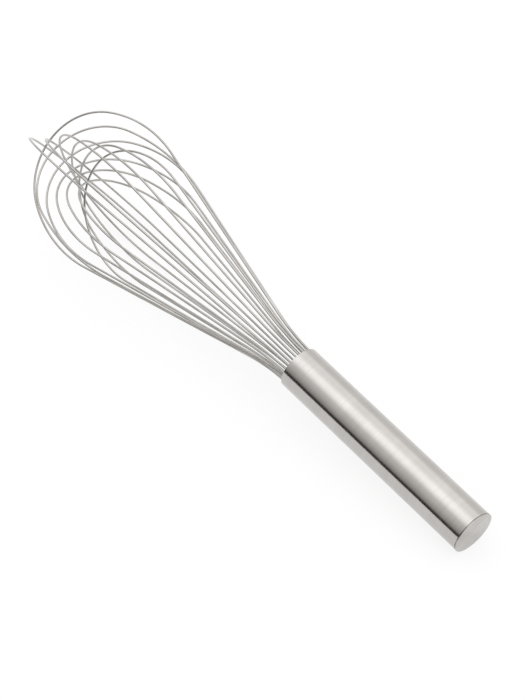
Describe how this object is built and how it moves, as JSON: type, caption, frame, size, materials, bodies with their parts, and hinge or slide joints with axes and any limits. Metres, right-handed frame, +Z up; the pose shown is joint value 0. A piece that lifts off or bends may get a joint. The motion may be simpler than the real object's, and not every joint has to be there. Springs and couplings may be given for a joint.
{
  "type": "whisk",
  "caption": "Balloon whisk: nested springy steel wire loops held in the mouth of a straight, sealed steel tube handle with a flat end cap.",
  "frame": {"origin": "centre of the handle's flat butt face", "axes": "+X along the bench from the butt towards the cage's tip, +Z up from the bench; the whisk lies as it rests, so the handle's own axis rises 5.46 degrees from +X towards +Z and leans nowhere in Y"},
  "size_m": [0.3495, 0.0784, 0.0797],
  "materials": {
    "handle_steel": "satin, ground round the tube",
    "cap_steel": "satin, lightly turned",
    "wire_steel": "bright drawn wire",
    "seal_resin": "cast, slightly glossy",
    "core_plastic": "moulded, matt",
    "stopper_rubber": "matt"
  },
  "bodies": {
    "root": {"handle_tube": "handle_steel", "end_cap": "cap_steel", "stopper_disc": "stopper_rubber", "wire_core": "core_plastic", "resin_seal": "seal_resin", "wire_loop_01": "wire_steel", "wire_loop_02": "wire_steel", "wire_loop_03": "wire_steel", "wire_loop_04": "wire_steel", "wire_loop_05": "wire_steel", "wire_loop_06": "wire_steel", "wire_loop_07": "wire_steel", "wire_loop_08": "wire_steel", "wire_loop_09": "wire_steel", "wire_loop_10": "wire_steel", "wire_loop_11": "wire_steel", "wire_loop_12": "wire_steel"}
  },
  "joints": []
}
